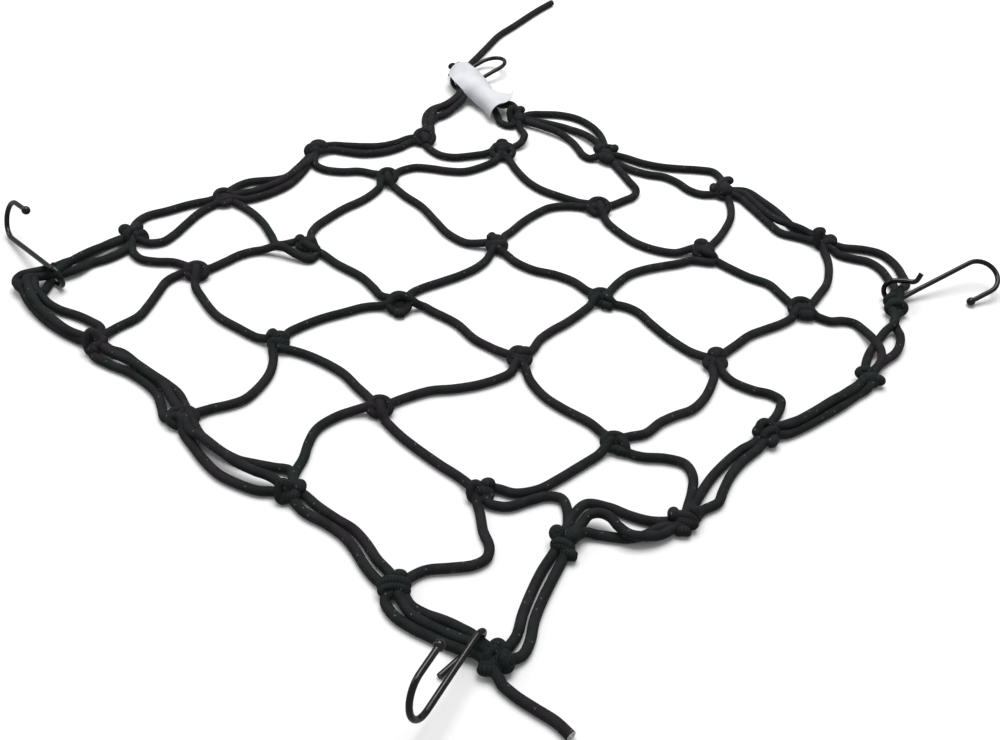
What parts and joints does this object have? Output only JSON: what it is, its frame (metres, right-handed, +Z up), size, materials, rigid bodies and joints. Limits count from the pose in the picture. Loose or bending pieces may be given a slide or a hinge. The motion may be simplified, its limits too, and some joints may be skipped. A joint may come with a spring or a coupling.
{
  "type": "cargo net",
  "caption": "Square knotted net of thin black elastic cord lying flat, with wire hooks at its corners and a blank white tag at one of them.",
  "frame": {"origin": "middle of the box around the net, its hooks and its label, on the surface it lies on", "axes": "+X from the net's left side to its right side, +Y from its front side to its back side, +Z up"},
  "size_m": [0.4965, 0.5847, 0.0376],
  "materials": {
    "elastic_cord": "matte braided sheath",
    "coated_wire": "gloss black coating on steel wire",
    "label_sheet": "matte white, blank"
  },
  "bodies": {
    "net": {"border_front": "elastic_cord", "border_right": "elastic_cord", "border_back": "elastic_cord", "border_left": "elastic_cord", "lengthwise_cord_1": "elastic_cord", "lengthwise_cord_2": "elastic_cord", "lengthwise_cord_3": "elastic_cord", "lengthwise_cord_4": "elastic_cord", "crosswise_cord_1_1": "elastic_cord", "crosswise_cord_1_2": "elastic_cord", "crosswise_cord_1_3": "elastic_cord", "crosswise_cord_1_4": "elastic_cord", "crosswise_cord_1_5": "elastic_cord", "crosswise_cord_2_1": "elastic_cord", "crosswise_cord_2_2": "elastic_cord", "crosswise_cord_2_3": "elastic_cord", "crosswise_cord_2_4": "elastic_cord", "crosswise_cord_2_5": "elastic_cord", "crosswise_cord_3_1": "elastic_cord", "crosswise_cord_3_2": "elastic_cord", "crosswise_cord_3_3": "elastic_cord", "crosswise_cord_3_4": "elastic_cord", "crosswise_cord_3_5": "elastic_cord", "crosswise_cord_4_1": "elastic_cord", "crosswise_cord_4_2": "elastic_cord", "crosswise_cord_4_3": "elastic_cord", "crosswise_cord_4_4": "elastic_cord", "crosswise_cord_4_5": "elastic_cord", "border_strand_front_1": "elastic_cord", "border_strand_front_3": "elastic_cord", "border_strand_back_1": "elastic_cord", "border_strand_back_2": "elastic_cord", "border_strand_back_3": "elastic_cord", "border_strand_back_4_outer": "elastic_cord", "border_strand_back_4_inner": "elastic_cord", "border_strand_left_3": "elastic_cord", "border_strand_left_4": "elastic_cord", "cord_tail_front": "elastic_cord", "cord_tail_back": "elastic_cord", "hook_back_left": "coated_wire", "label": "label_sheet"},
    "front_left_hook": {"hook_front_left": "coated_wire"},
    "front_right_hook": {"hook_front_right": "coated_wire"},
    "back_right_hook": {"hook_back_right": "coated_wire"}
  },
  "joints": [
    {"name": "hook_front_left_swing", "type": "hinge", "parent": "net", "child": "front_left_hook", "pos_m": [-0.15356, -0.17798, 0.0079], "axis": [-0.0995, 0.995, 0], "range_deg": [0, 120]},
    {"name": "hook_front_right_swing", "type": "hinge", "parent": "net", "child": "front_right_hook", "pos_m": [0.19654, -0.18798, 0.0079], "axis": [-0.9988, -0.0499, 0], "range_deg": [0, 120]},
    {"name": "hook_back_right_swing", "type": "hinge", "parent": "net", "child": "back_right_hook", "pos_m": [0.18354, 0.17852, 0.0079], "axis": [0.3499, -0.9368, 0], "range_deg": [0, 120]}
  ]
}
